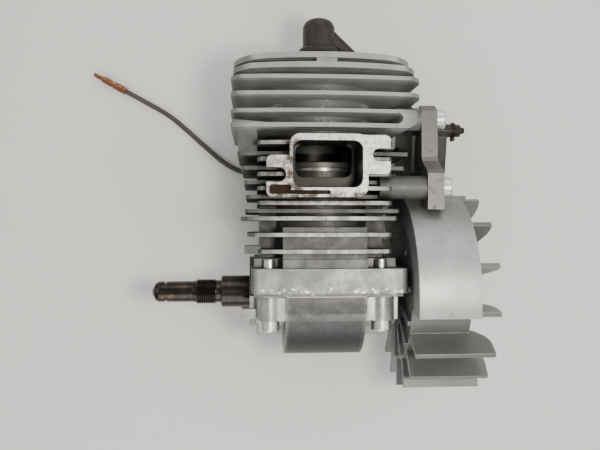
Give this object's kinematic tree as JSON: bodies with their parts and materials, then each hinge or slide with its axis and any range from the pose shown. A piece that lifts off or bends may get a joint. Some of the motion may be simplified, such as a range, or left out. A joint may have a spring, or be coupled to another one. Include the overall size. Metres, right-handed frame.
{
  "type": "two-stroke powerhead",
  "caption": "Finned two-stroke cylinder on a split crankcase, with a threaded output shaft, a fan flywheel, an ignition module, a plug boot and a loose kill wire.",
  "frame": {"origin": "under the middle of the box the engine lies in, on the plane that its intake flange and lowest fan blades stand on", "axes": "+X along the crankshaft to the flywheel, +Y up the cylinder to the spark plug, +Z out of the exhaust port"},
  "size_m": [0.1894, 0.176, 0.0915],
  "materials": {
    "cast_aluminium": "sand-rough die cast, satin",
    "wheel_aluminium": "satin die cast",
    "gasket_paper": "matt fibre",
    "zinc_steel": "zinc plated",
    "dark_steel": "black oxide, oily",
    "bearing_steel": "ground",
    "seal_rubber": "matt",
    "ceramic": "glazed ceramic",
    "piston_alloy": "machined",
    "ring_iron": "ground",
    "laminated_steel": "stacked laminations",
    "coil_resin": "potted resin",
    "magnet_ferrite": "sintered",
    "boot_rubber": "aged dark rubber",
    "lead_rubber": "smooth",
    "wire_sleeve": "grey-brown sleeve",
    "copper": "tarnished copper",
    "brass": "dull",
    "spring_steel": "oiled"
  },
  "bodies": {
    "engine": {"cylinder": "cast_aluminium", "crankcase_upper_half": "cast_aluminium", "crankcase_cap": "cast_aluminium", "crankcase_gasket": "gasket_paper", "crankcase_screws": "zinc_steel", "main_bearing_outer_races": "bearing_steel", "main_bearing_balls": "bearing_steel", "oil_seals": "seal_rubber", "ignition_core": "laminated_steel", "ignition_coil": "coil_resin", "ignition_coil_terminal": "brass", "ignition_screws": "zinc_steel", "spark_plug_shell": "zinc_steel", "spark_plug_insulator": "ceramic", "spark_plug_electrode": "bearing_steel", "spark_plug_washer": "copper", "plug_boot": "boot_rubber", "plug_boot_clip": "spring_steel", "ignition_lead": "lead_rubber", "kill_wire": "wire_sleeve", "kill_wire_pin": "copper"},
    "crank": {"crank_half_clutch_side": "dark_steel", "crank_half_flywheel_side": "dark_steel", "main_bearing_inner_races": "bearing_steel", "flywheel": "wheel_aluminium", "flywheel_magnet": "magnet_ferrite", "flywheel_pole_shoes": "laminated_steel", "flywheel_key": "bearing_steel", "flywheel_washer": "zinc_steel", "flywheel_nut": "zinc_steel", "pawl_screws": "zinc_steel", "pawl_springs": "spring_steel"},
    "piston_rod": {"piston": "piston_alloy", "piston_ring": "ring_iron", "wrist_pin": "bearing_steel", "wrist_pin_clips": "spring_steel", "connecting_rod": "dark_steel", "small_end_bearing": "bearing_steel", "big_end_bearing": "bearing_steel", "crank_pin": "bearing_steel"},
    "pawl_a": {"pawl_1": "zinc_steel"},
    "pawl_b": {"pawl_2": "zinc_steel"}
  },
  "joints": [
    {"name": "crank_spin", "type": "hinge", "parent": "engine", "child": "crank", "pos_m": [0.00285, -0.042, 0.0455], "axis": [1, 0, 0], "continuous": true},
    {"name": "piston_slide", "type": "slide", "parent": "engine", "child": "piston_rod", "axis": [0, 1, 0], "range_m": [0, 0.032]},
    {"name": "pawl_1_swing", "type": "hinge", "parent": "crank", "child": "pawl_a", "pos_m": [0.05105, -0.06105, 0.0565], "axis": [1, 0, 0], "range_deg": [0, 25], "stiffness_Nm_per_rad": 0.02, "springref_deg": -11.46},
    {"name": "pawl_2_swing", "type": "hinge", "parent": "crank", "child": "pawl_b", "pos_m": [0.05105, -0.02295, 0.0345], "axis": [1, 0, 0], "range_deg": [0, 25], "stiffness_Nm_per_rad": 0.02, "springref_deg": -11.46}
  ]
}
